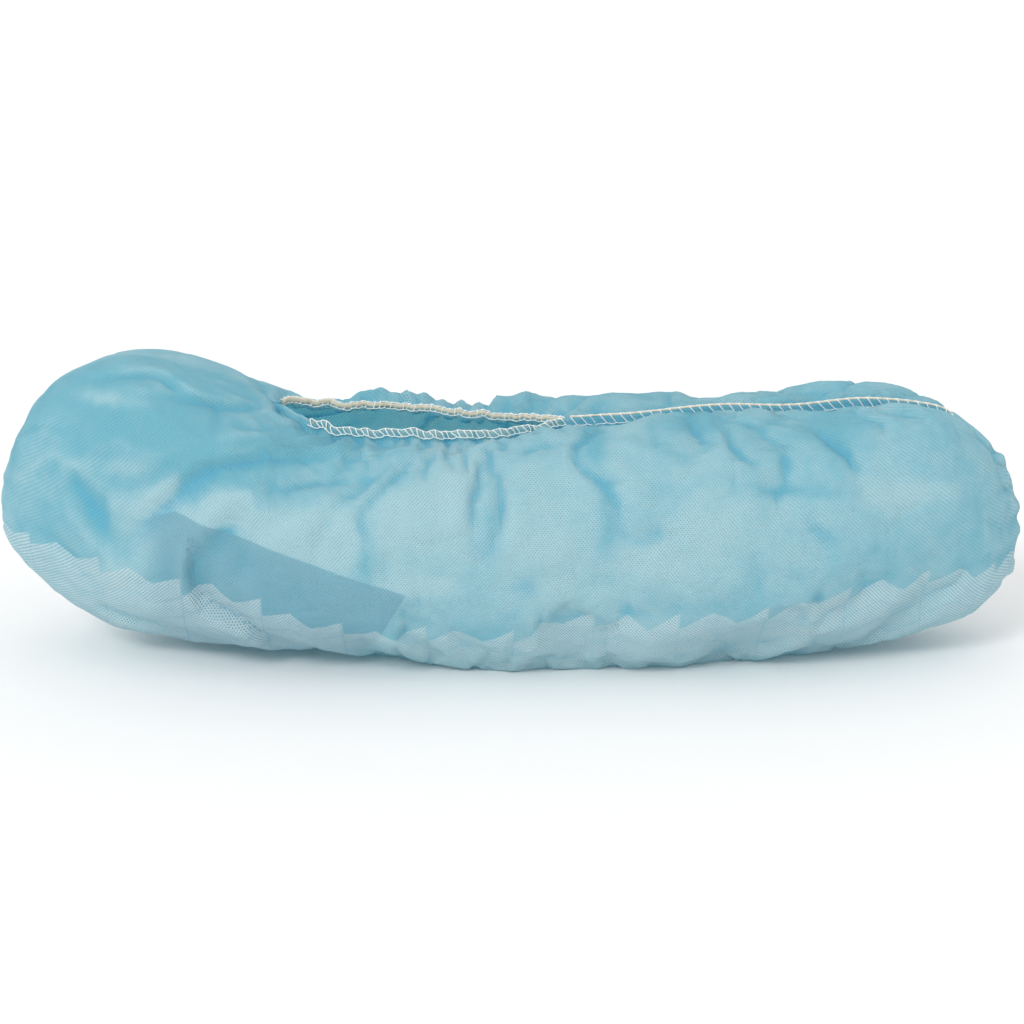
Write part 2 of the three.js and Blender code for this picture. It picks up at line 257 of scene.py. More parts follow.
def mouth_half_width(x):
    """Half the foot opening's width at a place along it."""
    along = np.clip((x - MOUTH_BACK) / (MOUTH_FRONT - MOUTH_BACK), 0, 1)
    turn = np.arccos(1 - 2 * along)
    return MOUTH_HALF_WIDTH * np.sin(turn) ** MOUTH_TIP_POWER * (1 + MOUTH_SKEW * np.cos(turn))


def trough_depth(x, y):
    """How far the top sinks towards the opening and the toe seam."""
    from_rim = np.maximum(np.abs(y) - mouth_half_width(x), 0)
    return profile(SINK, x) * np.exp(-((from_rim / TROUGH_WIDTH) ** 2))


def side_point(x, z, side):
    """A point on the unfolded bag's side."""
    crest, keel = profile(CREST, x), profile(KEEL, x)
    middle = (crest + keel) / 2
    level = np.minimum(np.abs(z - middle) / (crest - middle), 1)
    bulge = (1 - level ** SECTION_POWER) ** (1 / SECTION_POWER)
    return np.stack([x, side * half_width(x) * bulge, z - trough_depth(x, half_width(x) * bulge)], -1)


def edge_strength(x):
    """1 where the bag's top edges are open or overlocked, 0 where cloth closes the top."""
    back = smooth(x, MOUTH_BACK - 2, MOUTH_BACK + EDGE_RAMP)
    front = 1 - smooth(x, SEAM_FRONT - EDGE_RAMP, SEAM_FRONT)
    return back * front


def edge_waves(x, side):
    """How the gathered edge sways sideways and up and down."""
    at_rim = smooth(x, MOUTH_BACK, MOUTH_BACK + 16) * (1 - smooth(x, MOUTH_FRONT - 12, MOUTH_FRONT))
    heights = []
    for seed in (2, 8):
        places = [Vector((float(v), float(k), seed)) for v in x[:, 0] for k in (NEAR, FAR)]
        broad = np.array([noise.noise(Vector((p.x / 7, p.y * 9, p.z))) for p in places])
        fine = np.array([noise.noise(Vector((p.x / 3.2, p.y * 5, p.z))) for p in places])
        heights.append((1.9 * broad + 1.1 * fine).reshape(-1, 2))
    sway = np.where(side > 0, heights[0][:, :1], heights[0][:, 1:])
    heave = np.where(side > 0, heights[1][:, :1], heights[1][:, 1:])
    return at_rim * 0.9 * sway, at_rim * heave


def station_list():
    """Places along the bag, closer together towards both ends."""
    heel = (np.arange(HEEL_CELLS) / HEEL_CELLS) ** END_GRADING
    toe = (np.arange(TOE_CELLS, -1, -1) / TOE_CELLS) ** END_GRADING
    mouth = np.arange(MOUTH_CELLS) / MOUTH_CELLS
    return np.concatenate([
        -END_X + (MOUTH_BACK + END_X) * heel,
        MOUTH_BACK + (MOUTH_FRONT - MOUTH_BACK) * mouth,
        END_X - (END_X - MOUTH_FRONT) * toe,
    ])


def base_grid():
    """The unfolded bag, as a grid of points along it and round it."""
    x = station_list()[:, None]
    crest, keel, width = profile(CREST, x), profile(KEEL, x), half_width(x)
    middle, half = (crest + keel) / 2, (crest - keel) / 2
    edge = edge_strength(x)

    lip = np.maximum(mouth_half_width(x), PLY_GAP)
    foot = lip * edge + EDGE_HEIGHT * (1 - edge)
    start = np.arcsin(np.clip(foot / np.maximum(width, 1), 0.02, 0.6) ** (SECTION_POWER / 2))

    columns = np.arange(GIRTH_CELLS + 1)[None, :]
    inner = GIRTH_CELLS - 2 * EDGE_COLUMNS
    even = np.clip((columns - EDGE_COLUMNS) / inner, 0, 1)
    graded = even - GIRTH_GRADING * np.sin(2 * np.pi * even)
    angle = start + (2 * np.pi - 2 * start) * graded
    from_edge = np.minimum(columns, GIRTH_CELLS - columns)
    stitched = np.clip(1 - from_edge / EDGE_COLUMNS, 0, 1)
    side = np.where(columns <= GIRTH_CELLS / 2, 1, -1)
    closed = start * (1 - stitched)
    closed = np.where(side > 0, closed, 2 * np.pi - closed)
    angle = np.where(stitched > 0, closed * (1 - edge) + angle * edge, angle)

    across = -signed_power(np.sin(angle), 2 / SECTION_POWER)
    level = signed_power(np.cos(angle), 2 / SECTION_POWER)
    y = across * width
    z = middle + level * half
    z = z - np.where(level > 0, trough_depth(x, y), 0) + stitched * edge * EDGE_HEIGHT
    sway, heave = edge_waves(x, side)
    at_edge = np.exp(-np.maximum(from_edge - EDGE_COLUMNS, 0) / 2) * edge
    y = y + at_edge * sway
    z = z + at_edge * heave
    bow = np.sign(x) * END_BOW * (1 - level ** 2) * np.abs(x / END_X) ** 12
    return np.stack([x + bow, y, z], -1), edge[:, 0] > 0


def share_edges(values, is_open):
    """Makes a grid of values agree where the cloth's two sides are one point."""
    ends = (values[[0, -1]] + values[[0, -1], ::-1]) / 2
    values[[0, -1]] = ends
    top = (values[~is_open, 0] + values[~is_open, -1]) / 2
    values[~is_open, 0] = top
    values[~is_open, -1] = top
    return values


def grid_normals(points, is_open):
    """The outward direction at each point of the bag."""
    along = np.gradient(points, axis=0)
    around = np.gradient(points, axis=1)
    closed = ~is_open
    wrap = points[closed, 1] - points[closed, -2]
    around[closed, 0] = wrap / 2
    around[closed, -1] = wrap / 2
    normals = share_edges(np.cross(around, along), is_open)
    normals /= np.maximum(np.linalg.norm(normals, axis=-1, keepdims=True), 1e-9)
    normals[0], normals[-1] = (-1, 0, 0), (1, 0, 0)
    return normals


def lengths(points, axis):
    """Distance walked along one axis of a grid, from its start."""
    steps = np.linalg.norm(np.diff(points, axis=axis), axis=-1)
    return np.concatenate([np.zeros_like(np.take(steps, [0], axis)), np.cumsum(steps, axis)], axis)


def noise_field(points, size, seed):
    """Soft noise from about -1 to 1 at each point, with lumps of a given size."""
    shift = Vector((seed * 7.31, seed * 3.17, seed * 5.53))
    flat = [noise.noise(Vector(p) / size + shift) for p in points.reshape(-1, 3)]
    return np.array(flat).reshape(points.shape[:-1]) * 2


def crumple_field(points, size, seed):
    """Facets of crumpled cloth: level patches that meet in thin creases."""
    shift = Vector((seed * 4.19, seed * 6.71, seed * 2.93))
    depths = []
    for p in points.reshape(-1, 3):
        at = Vector(p) / size + shift
        at += 0.35 * noise.noise_vector(at * 1.3)
        near = noise.voronoi(at)[0]
        depths.append(near[1] - near[0])
    return np.array(depths).reshape(points.shape[:-1])


def fold_line(path, side):
    """A smooth line on the bag's side through a fold's points."""
    places = np.array(path, float)
    knots = np.arange(len(places))
    at = np.linspace(0, len(places) - 1, FOLD_SAMPLES)
    x = profile(np.stack([knots, places[:, 0]], -1), at)
    z = profile(np.stack([knots, places[:, 1]], -1), at)
    return side_point(x, z, side)


def nearest_on_line(places, line):
    """Each place's distance and gap from a line, how far along it that is, and the step there."""
    start, step = line[:-1], np.diff(line, axis=0)
    along = np.einsum("nk,sk->ns", places, step) - np.einsum("sk,sk->s", start, step)
    along = np.clip(along / np.einsum("sk,sk->s", step, step), 0, 1)
    gap = places[:, None] - (start[None] + along[..., None] * step[None])
    distance = np.linalg.norm(gap, axis=-1)
    best = distance.argmin(1)
    rows = np.arange(len(places))
    return distance[rows, best], gap[rows, best], (best + along[rows, best]) / len(step), step[best]


def fold_shape(kind, signed, distance, width):
    """How high the cloth stands at a distance from a fold of depth 1."""
    if kind == "valley":
        reach = width * (1.0 + 0.65 * np.tanh(-signed / 0.8))
        shoulder = 0.35 * np.exp(-(((distance - 2.2 * reach) / (1.2 * reach)) ** 2))
        return shoulder - np.exp(-np.hypot(distance, 0.5) / reach * 1.3)
    if kind == "crease":
        shoulder = 0.3 * np.exp(-(((distance - 2.5 * width) / (1.5 * width)) ** 2))
        return shoulder - 1.5 * np.exp(-np.hypot(distance, 0.3) / width)
    if kind == "ridge":
        return np.exp(-np.hypot(distance, 0.4) / width)
    above = smooth(signed, -LIP_EDGE, LIP_EDGE)
    return above * 0.6 * np.exp(-distance / (2.2 * width)) - (1 - above) * np.exp(-distance / width)


def fold_field(points, normals):
    """How far the folds move each point out, and sideways where a lip hangs over."""
    out = np.zeros(points.shape[:-1])
    slide = np.zeros(points.shape)
    for kind, side, depth, width, path in FOLDS:
        line = fold_line(path, side)
        reach = 6 * width
        near = np.all((points > line.min(0) - reach) & (points < line.max(0) + reach), -1)
        distance, gap, place, step = nearest_on_line(points[near], line)
        taper = np.sin(np.pi * np.clip(0.04 + 0.92 * place, 0, 1)) ** 0.6
        across = np.cross(step, normals[near])
        across /= np.maximum(np.linalg.norm(across, axis=-1, keepdims=True), 1e-9)
        signed = np.einsum("nk,nk->n", gap, across)
        out[near] += depth * taper * fold_shape(kind, signed, distance, width)
        if kind == "lip":
            above = smooth(signed, -LIP_EDGE, LIP_EDGE)
            hang = above * np.exp(-distance / (0.8 * width)) * taper * depth * 0.3
            slide[near] -= across * hang[:, None]
    return out, slide


def gather_field(x, from_edge, side):
    """Puckers that run down from the elastic edge and from the toe seam."""
    mouth = smooth(x, MOUTH_BACK - 4, MOUTH_BACK + 14) * (1 - smooth(x, MOUTH_FRONT - 6, MOUTH_FRONT + 26))
    seam = smooth(x, MOUTH_FRONT - 6, MOUTH_FRONT + 20) * (1 - smooth(x, SEAM_FRONT - 10, SEAM_FRONT))
    shorter = 0.5 + 0.5 * smooth(x, MOUTH_BACK + 10, MOUTH_BACK + 45)
    middle = (MOUTH_BACK + MOUTH_FRONT) / 2
    spread = middle + (x - middle) / (1 + from_edge / 90)
    below = np.maximum(from_edge - EDGE_HEIGHT, 0)
    at_seam = seam * SEAM_SHARE * np.exp(-below / SEAM_REACH)
    total = np.zeros_like(from_edge)
    for number, (pitch, depth, reach) in enumerate(GATHERS):
        seed = 10 * number + (3 if side == NEAR else 5)
        where = np.stack([spread, from_edge * 0.35, np.zeros_like(spread)], -1)
        wander = noise_field(where, 2.6 * pitch, seed)
        strength = 0.8 + 0.7 * noise_field(where, 1.9 * pitch, seed + 1)
        wave = 1 - 2 * np.abs(np.cos(2 * np.pi * (spread / pitch + 0.6 * wander))) ** 0.8
        fade = np.exp(-below / (reach * shorter)) * (0.2 + 0.8 * (1 - np.exp(-below / 3)))
        size = FAR_RIM_CALM if side == FAR and number < 2 else 1.0
        total += size * depth * wave * strength * fade * (mouth + at_seam)
    return total


def blur(values, is_open, rounds):
    """Softens a grid of values a little, round by round."""
    for _ in range(rounds):
        padded = np.pad(values, ((1, 1), (1, 1)), "edge")
        padded[1:-1, 0] = np.where(is_open, padded[1:-1, 1], values[:, -2])
        padded[1:-1, -1] = np.where(is_open, padded[1:-1, -2], values[:, 1])
        values = (
            padded[:-2, 1:-1] + padded[2:, 1:-1] + padded[1:-1, :-2] + padded[1:-1, 2:]
            + 4 * padded[1:-1, 1:-1]
        ) / 8
    return values


def cloth_maps(points, stations):
    """Two flat maps of the bag, and each point's distance from its nearest top edge.
    The cloth's own map follows the surface, and the print's keeps the sole's middle straight."""
    round_length = lengths(points, 1)
    from_edge = np.minimum(round_length, round_length[:, -1:] - round_length)
    from_sole = round_length - round_length[:, [GIRTH_CELLS // 2]]
    half_girth = np.abs(from_sole).max(1, keepdims=True)
    side_line = lengths(points[:, [GIRTH_CELLS // 4]], 0)[:, 0]
    side_line -= np.interp(0, stations[:, 0], side_line)
    side_line = side_line[:, None] + np.zeros_like(round_length)
    own_line = lengths(points, 0)
    own_line -= own_line[[np.abs(stations[:, 0]).argmin()]]
    cloth_map = np.stack([0.35 * own_line + 0.65 * side_line, from_sole], -1)
    print_map = np.stack([side_line, from_sole / half_girth * half_girth.max()], -1)
    return cloth_map, print_map, from_edge


def weld_field(points, stations):
    """Ripples and a groove at the welded ends."""
    from_end = np.minimum(stations + END_X, END_X - stations)
    ripple = np.cos(points[..., 2] / 1.9 + 2 * noise_field(points, 12, 4))
    ripple *= np.where(points[..., 0] > 0, TOE_RIPPLE, HEEL_RIPPLE)
    return ripple * np.exp(-from_end / RIPPLE_REACH) - WELD_DEPTH * np.exp(-from_end / 1.5)


def folded_cloth(points, stations, from_edge, is_open):
    """The bag with its folds, gathers, waves and welds, before it buckles."""
    normals = grid_normals(points, is_open)
    folds, slide = fold_field(points, normals)
    folds, slide = blur(folds, is_open, 2), blur3(slide, is_open, 4)
    near = (np.arange(GIRTH_CELLS + 1) <= GIRTH_CELLS / 2)[None, :]
    near_gathers, far_gathers = (gather_field(stations, from_edge, side) for side in (NEAR, FAR))
    gathers = np.where(near, near_gathers, far_gathers)
    waves = sum(depth * noise_field(points, size, seed) for seed, (depth, size) in enumerate(WAVES, 1))
    facets = crumple_field(points, FACET_SIZE, 1)
    waves += FACET_RISE * facets - FACET_CREASE * np.exp(-facets / 0.07)

    away = np.where(is_open[:, None], smooth(from_edge, 0, CALM_REACH), 1)
    out = folds * np.maximum(away, 0.25) + gathers + waves * away + weld_field(points, stations)
    return on_floor(points + normals * out[..., None] + slide * away[..., None], is_open)


def on_floor(bag, is_open):
    """Closes the bag's shared edges and lifts what is below the floor up to it."""
    bag = share_edges(bag, is_open)
    bag[..., 2] = np.maximum(bag[..., 2], 0)
    return bag


def crease_shade_field(bag, normals, is_open):
    """How deep each point lies between its neighbours, near and further away; this sets the painted shade
    in the creases.
    """
    inward = 1.8 * blur3(bag, is_open, 3) + 0.8 * blur3(bag, is_open, 14) - 2.6 * bag
    return blur(np.einsum("ijk,ijk->ij", inward, normals), is_open, 2)


@functools.lru_cache(maxsize=1)
def cover_form():
    """The finished cloth surface and what the other pieces need of it."""
    noise.seed_set(NOISE_SEED)
    points, is_open = base_grid()
    stations = station_list()[:, None] + np.zeros(points.shape[:-1])
    cloth_map, print_map, from_edge = cloth_maps(points, stations)
    bag = folded_cloth(points, stations, from_edge, is_open)
    bag = on_floor(bag + buckle(bag, is_open, from_edge), is_open)
    normals = grid_normals(bag, is_open)
    crease_shade = crease_shade_field(bag, normals, is_open)
    # Painted shade: the doubled plies along the toe seam's edge get the crease colour too.
    seam_ply_shade = (from_edge < EDGE_HEIGHT + 0.3) * smooth(stations, MOUTH_FRONT - 4, MOUTH_FRONT + 4)
    crease_shade = np.where(is_open[:, None], np.maximum(crease_shade, seam_ply_shade), crease_shade)
    return {
        "points": bag, "normals": normals, "is_open": is_open, "cloth_map": cloth_map,
        "print_map": print_map, "crease_shade": crease_shade, "stations": stations[:, 0],
    }


def held_strength(start, from_edge, is_open):
    """1 where the cloth is held still: at its stitched edges, on the floor and at both welds."""
    edges = 1 - smooth(from_edge, EDGE_HEIGHT, EDGE_HEIGHT + 5)
    edges = np.where(is_open[:, None], edges, 0)
    floor = 1 - smooth(start[..., 2], 0.0, 1.0)
    from_end = END_X + END_BOW - np.abs(start[..., 0])
    return np.maximum(np.maximum(edges, floor), 1 - smooth(from_end, 0.0, 2.0))


def buckle(bag, is_open, from_edge):
    """Simulates every second row of the cloth and gives each point's movement.
    Its starting values are rounded, so that every run makes the same wrinkles."""
    start, opens = bag[::2], is_open[::2]
    numbers = vertex_numbers(opens, start.shape[1] - 1)
    used, faces = np.unique(grid_faces(numbers).reshape(-1, 4), return_inverse=True)
    mesh = bpy.data.meshes.new("buckling_cloth")
    scaled = np.round(start.reshape(-1, 3)[used] * MM * BUCKLE_SCALE, 5)
    mesh.from_pydata(scaled.tolist(), [], faces.reshape(-1, 4).tolist())
    cloth = bpy.data.objects.new("buckling_cloth", mesh)
    scene = bpy.context.scene
    scene.collection.objects.link(cloth)

    hold = held_strength(start, from_edge[::2], opens)
    group = cloth.vertex_groups.new(name="held")
    for number, weight in enumerate(np.round(hold.reshape(-1)[used], 3)):
        if weight > 0:
            group.add([number], float(weight), "REPLACE")
    solver = cloth.modifiers.new("cloth", "CLOTH").settings
    for name, value in CLOTH_SETTINGS.items():
        setattr(solver, name, value)
    solver.vertex_group_mass = group.name
    solver.effector_weights.gravity = 0
    for number in range(1, BUCKLE_FRAMES + 1):
        scene.frame_set(number)
    shaped = cloth.evaluated_get(bpy.context.evaluated_depsgraph_get())
    moved = np.empty(len(used) * 3, np.float32)
    shaped.data.vertices.foreach_get("co", moved)
    scene.frame_set(1)
    bpy.data.objects.remove(cloth)
    bpy.data.meshes.remove(mesh)

    found = np.zeros((start.shape[0] * start.shape[1], 3))
    found[used] = moved.reshape(-1, 3) / (MM * BUCKLE_SCALE) - start.reshape(-1, 3)[used]
    found = shorten(found[numbers], BUCKLE_LIMIT)
    normals = grid_normals(start, opens)
    outward = np.einsum("ijk,ijk->ij", found, normals)
    kept = np.where(outward > 0, BULGE_LIMIT * np.tanh(outward / BULGE_LIMIT), outward)
    return refine(found + normals * (kept - outward)[..., None])


def shorten(moves, limit):
    """Keeps every movement below a limit."""
    size = np.linalg.norm(moves, axis=-1, keepdims=True)
    return moves * limit * np.tanh(size / limit) / np.maximum(size, 1e-6)


def refine(values):
    """Smoothly doubles a grid's rows."""
    padded = np.concatenate([values[:1], values, values[-1:]])
    between = (9 * (values[:-1] + values[1:]) - padded[:-3] - padded[3:]) / 16
    result = np.empty((2 * len(values) - 1, *values.shape[1:]))
    result[::2] = values
    result[1::2] = between
    return result


def blur3(points, is_open, rounds):
    """Softens a grid of points."""
    return np.stack([blur(points[..., k], is_open, rounds) for k in range(3)], -1)


def vertex_numbers(is_open, cells):
    """The grid's vertex numbers, with one number where two sides share a point."""
    rows, columns = len(is_open), cells + 1
    numbers = np.arange(rows * columns).reshape(rows, columns)
    numbers[~is_open, -1] = numbers[~is_open, 0]
    mirror = np.minimum(np.arange(columns), cells - np.arange(columns))
    numbers[0] = numbers[0, mirror]
    numbers[-1] = numbers[-1, mirror]
    return numbers


def grid_faces(values):
    """The four corners of each of a grid's cells."""
    return np.stack([values[:-1, :-1], values[:-1, 1:], values[1:, 1:], values[1:, :-1]], 2)


# ---- meshes and threads -----------------------------------------------------

def add_mesh(name, points, faces, materials, smooth_shading=True):
    """A mesh object from points in millimetres."""
    mesh = bpy.data.meshes.new(name)
    mesh.from_pydata((np.asarray(points) * MM).tolist(), [], faces)
    for material in materials:
        mesh.materials.append(material)
    if smooth_shading:
        mesh.shade_smooth()
    mesh.validate()
    piece = bpy.data.objects.new(name, mesh)
    bpy.context.scene.collection.objects.link(piece)
    return piece


def tube(path, radius, sides, closed, flatten=None):
    """Points and faces of a round thread along a path, or a flat one with a list of broad directions."""
    path = np.asarray(path, float)
    count = len(path)
    if closed:
        ahead = np.roll(path, -1, 0) - np.roll(path, 1, 0)
    else:
        ahead = np.gradient(path, axis=0)
    ahead /= np.linalg.norm(ahead, axis=1, keepdims=True)
    axis = np.cross(ahead[0], (0.3, 0.2, 1.0))
    axes = []
    for direction in ahead:
        axis = axis - direction * np.dot(axis, direction)
        axis /= np.linalg.norm(axis)
        axes.append(axis)
    axes = np.array(axes)
    others = np.cross(ahead, axes)
    if flatten is not None:
        axes = flatten * 1.0
        others = np.cross(ahead, axes) * 0.45
    turns = np.arange(sides) * 2 * np.pi / sides
    ring = np.cos(turns)[None, :, None] * axes[:, None] + np.sin(turns)[None, :, None] * others[:, None]
    points = (path[:, None] + radius * ring).reshape(-1, 3)
    faces = []
    for i in range(count if closed else count - 1):
        for k in range(sides):
            a, b = i * sides + k, i * sides + (k + 1) % sides
            following = (i + 1) % count
            c, d = following * sides + (k + 1) % sides, following * sides + k
            faces.append((a, b, c, d))
    if not closed:
        faces.append(tuple(range(sides))[::-1])
        faces.append(tuple((count - 1) * sides + k for k in range(sides)))
    return points, faces


def join_parts(parts):
    """Several parts' points and faces as one."""
    points, faces, base = [], [], 0
    for part_points, part_faces in parts:
        points.append(part_points)
        faces += [tuple(base + n for n in face) for face in part_faces]
        base += len(part_points)
    return np.concatenate(points), faces


# ---- shader maths ---------------------------------------------------------

class Wire:
    """A shader value. Python's operators on it add Math nodes."""

    def __init__(self, finish, socket):
        self.finish = finish
        self.socket = socket

    def math(self, operation, *values):
        return self.finish.node("ShaderNodeMath", {"operation": operation}, *values)

    def __add__(self, other):
        return self.math("ADD", self, other)

    def __sub__(self, other):
        return self.math("SUBTRACT", self, other)

    def __mul__(self, other):
        return self.math("MULTIPLY", self, other)

    def __truediv__(self, other):
        return self.math("DIVIDE", self, other)

    def __mod__(self, other):
        return self.math("FLOORED_MODULO", self, other)

    def __rsub__(self, other):
        return self.math("SUBTRACT", other, self)

    def __neg__(self):
        return self.math("MULTIPLY", self, -1.0)

    def __abs__(self):
        return self.math("ABSOLUTE", self)

    __radd__ = __add__
    __rmul__ = __mul__

    def floor(self):
        return self.math("FLOOR", self)

    def fraction(self):
        return self.math("FRACT", self)

    def least(self, other):
        return self.math("MINIMUM", self, other)

    def most(self, other):
        return self.math("MAXIMUM", self, other)

    def step(self, low, high):
        """0 at low, 1 at high, with a soft step between."""
        settings = {"interpolation_type": "SMOOTHSTEP"}
        return self.finish.node("ShaderNodeMapRange", settings, self, low, high, 0.0, 1.0)


class Finish:
    """A material under construction."""

    def __init__(self, name):
        self.material = bpy.data.materials.new(name)
        self.material.use_nodes = True
        self.tree = self.material.node_tree
        self.tree.nodes.clear()

    def node(self, kind, settings, *values, output=0, **named):
        """Adds a node: its settings first, then its inputs in order or by name."""
        made = self.tree.nodes.new(kind)
        for key, value in settings.items():
            setattr(made, key, value)
        inputs = list(enumerate(values)) + list(named.items())
        for key, value in inputs:
            socket = made.inputs[key.replace("_", " ")] if isinstance(key, str) else made.inputs[key]
            if isinstance(value, Wire):
                self.tree.links.new(value.socket, socket)
            elif value is not None:
                socket.default_value = value
        return None if output is None else Wire(self, made.outputs[output])

    def mix(self, factor, low, high):
        """Blends two colours."""
        made = self.node("ShaderNodeMix", {"data_type": "RGBA"}, output=2)
        mix = made.socket.node
        for socket, value in ((mix.inputs[0], factor), (mix.inputs[6], low), (mix.inputs[7], high)):
            if isinstance(value, Wire):
                self.tree.links.new(value.socket, socket)
            else:
                socket.default_value = value
        return made

    def place(self, name):
        """The two coordinates of a UV map, in metres."""
        split = self.node("ShaderNodeSeparateXYZ", {}, self.node("ShaderNodeUVMap", {"uv_map": name}))
        return split, Wire(self, split.socket.node.outputs[1])

    def attribute(self, name):
        """A number stored at the mesh's points."""
        return self.node("ShaderNodeAttribute", {"attribute_name": name}, output="Fac")

    def end(self, surface):
        """Links the finished shader and gives the material."""
        self.node("ShaderNodeOutputMaterial", {}, surface, output=None)
        return self.material


DOT_ROW = 0.65  # distance between two rows of bond dots, as a share of the dots' own
# Painted shade of the turned-in end, low on the near side.
BACKED_SHADE_PEAK = (-127.0, 68.0)  # top of the darker patch, as (x, height)

# Where the print's teeth are highest and where they dip, as shares of a block.
TOOTH_TOP = 0.38
TOOTH_DIP = 0.64


def tint(colour):
    """A colour as shader sockets take it."""
    return (*colour, 1.0)


def cloth_finish(name, colours, sizes, outside):
    """Nonwoven cloth: bond dots, cloudy fibres, painted shade (deeper blue in the folds), painted
    highlights and, on its outside, the white non-slip print of the sole."""
    f = Finish(name)
    point = f.node("ShaderNodeTexCoord", {}, output="Object")
    dots = bond_dots(f, sizes)
    fibres = f.node("ShaderNodeTexNoise", {}, point, Scale=1500.0, Detail=3.0, Roughness=0.6)
    clouds = f.node("ShaderNodeTexNoise", {}, point, Scale=110.0, Detail=4.0, Roughness=0.6)
    patches = f.node("ShaderNodeTexNoise", {}, point, Scale=24.0, Detail=2.0, Roughness=0.5)
    dents = f.node("ShaderNodeTexNoise", {}, point, Scale=60.0, Detail=1.0, Roughness=0.4)
    ripples = f.node("ShaderNodeTexNoise", {}, point, Scale=150.0, Detail=1.0, Roughness=0.4)
    softness = abs(dents - 0.5) * 2.2 + abs(ripples - 0.5) * 0.8
    # Painted shade: deeper blue in the creases, from how deep each point lies.
    crease_shade = f.attribute("crease_shade") * 0.7
    # Painted highlights and painted shade in the listed patches.
    painted_light_and_shade = f.attribute("painted_light_and_shade")
    # Painted shade where the turned-in end lies behind.
    backed_shade = backed_shade_mask(f, point)

    # Random paleness from two noises, plus the painted highlights and shade of the patches, less the
    # painted crease shade.
    light = (clouds - 0.5) * 0.8 + (patches - 0.5) * 0.9 + painted_light_and_shade * 1.8 - crease_shade * 0.4
    # Painted light: the inside takes a paler copy of the cloth's colour.
    main = colours.cloth if outside else colours.cloth_inside_painted_light
    colour = f.mix((0.42 + light).step(0.0, 1.0), tint(main), tint(colours.cloth_pale_and_painted_light))
    colour = f.mix((crease_shade * 0.8).step(0.0, 1.0) * 0.8, colour, tint(colours.cloth_crease_shade))
    colour = f.mix(backed_shade * 0.7, colour, tint(colours.cloth_backed_shade))
    speckle = dots * (0.5 + (clouds - 0.5) * 0.8) + (fibres - 0.5).step(0.03, 0.25) * 0.28
    height = (fibres - 0.5) * 0.4 - dots * 0.8
    if outside:
        ink = print_mask(f, sizes) * (0.9 + (clouds - 0.5) * 0.7)
        colour = f.mix(ink * 0.78 * (1.0 - dots * 0.85), colour, tint(colours.grip_print))
        speckle = speckle + ink * dots * 0.35
        height = height + ink * 0.25
    colour = f.mix(speckle, colour, tint(colours.cloth_dot))

    crinkles = f.node("ShaderNodeBump", {}, Strength=0.7, Distance=0.0016, Height=softness)
    bump = f.node("ShaderNodeBump", {}, Strength=0.4, Distance=0.0003, Height=height, Normal=crinkles)
    shader = f.node("ShaderNodeBsdfPrincipled", {}, Base_Color=colour, Roughness=0.75, Normal=bump)
    shader.socket.node.inputs["Specular IOR Level"].default_value = 0.3
    shader.socket.node.inputs["Sheen Weight"].default_value = 0.1
    glow = f.node("ShaderNodeBsdfTranslucent", {}, Color=colour, Normal=bump)
    return f.end(f.node("ShaderNodeMixShader", {}, 0.5 if outside else 0.65, shader, glow))


def bond_dots(f, sizes):
    """The cloth's pressed dots, each row moved by half a dot."""
    along, around = f.place("cloth")
    row = around / (sizes.dot_pitch * DOT_ROW)
    lean = (row.floor() % 2.0) * 0.5
    across = (along / sizes.dot_pitch + lean).fraction() - 0.5
    up = row.fraction() - 0.5
    return 1.0 - (across * across * 1.3 + up * up * 0.8).step(0.02, 0.11)


def backed_shade_mask(f, point):
    """Painted shade: a darker patch low on the near side, where the cloth's turned-in end lies behind."""
    split = f.node("ShaderNodeSeparateXYZ", {}, point)
    x, y, z = (Wire(f, output) / MM for output in split.socket.node.outputs)
    peak_x, peak_z = BACKED_SHADE_PEAK
    below_front = peak_z - (x - peak_x) * 0.345 - z
    below_back = peak_z + (x - peak_x) * 0.29 - z
    behind_front = z * 0.57 - 61.7 - x
    mask = below_front.step(-0.5, 0.5) * below_back.step(-0.5, 0.5) * behind_front.step(-0.6, 0.6)
    return mask * x.step(-144.0, -130.0) * (-y).step(0.0, 5.0) * z.step(0.0, 12.0)


def print_mask(f, sizes):
    """The non-slip print: rows of saw-toothed blocks on the sole."""
    along, around = f.place("print")
    place = (along / sizes.print_pitch).fraction()
    rise = (place / TOOTH_TOP).least(1.0)
    fall = ((place - TOOTH_TOP) / (TOOTH_DIP - TOOTH_TOP)).most(0.0).least(1.0)
    second_rise = ((place - TOOTH_DIP) / (1.0 - TOOTH_DIP)).most(0.0)
    climb = rise - fall * 0.8 + second_rise * 0.95
    inside = sizes.print_half_width + climb * sizes.print_rise - abs(around)
    rows = (inside / sizes.print_row).fraction()
    band = 1.0 - rows.step(0.84, 0.87) * (1.0 - rows.step(0.97, 1.0)) * 0.25
    upright = 1.0 - place.step(0.97, 0.98) * 0.3
    return band * upright * inside.step(0.0, 0.0005)


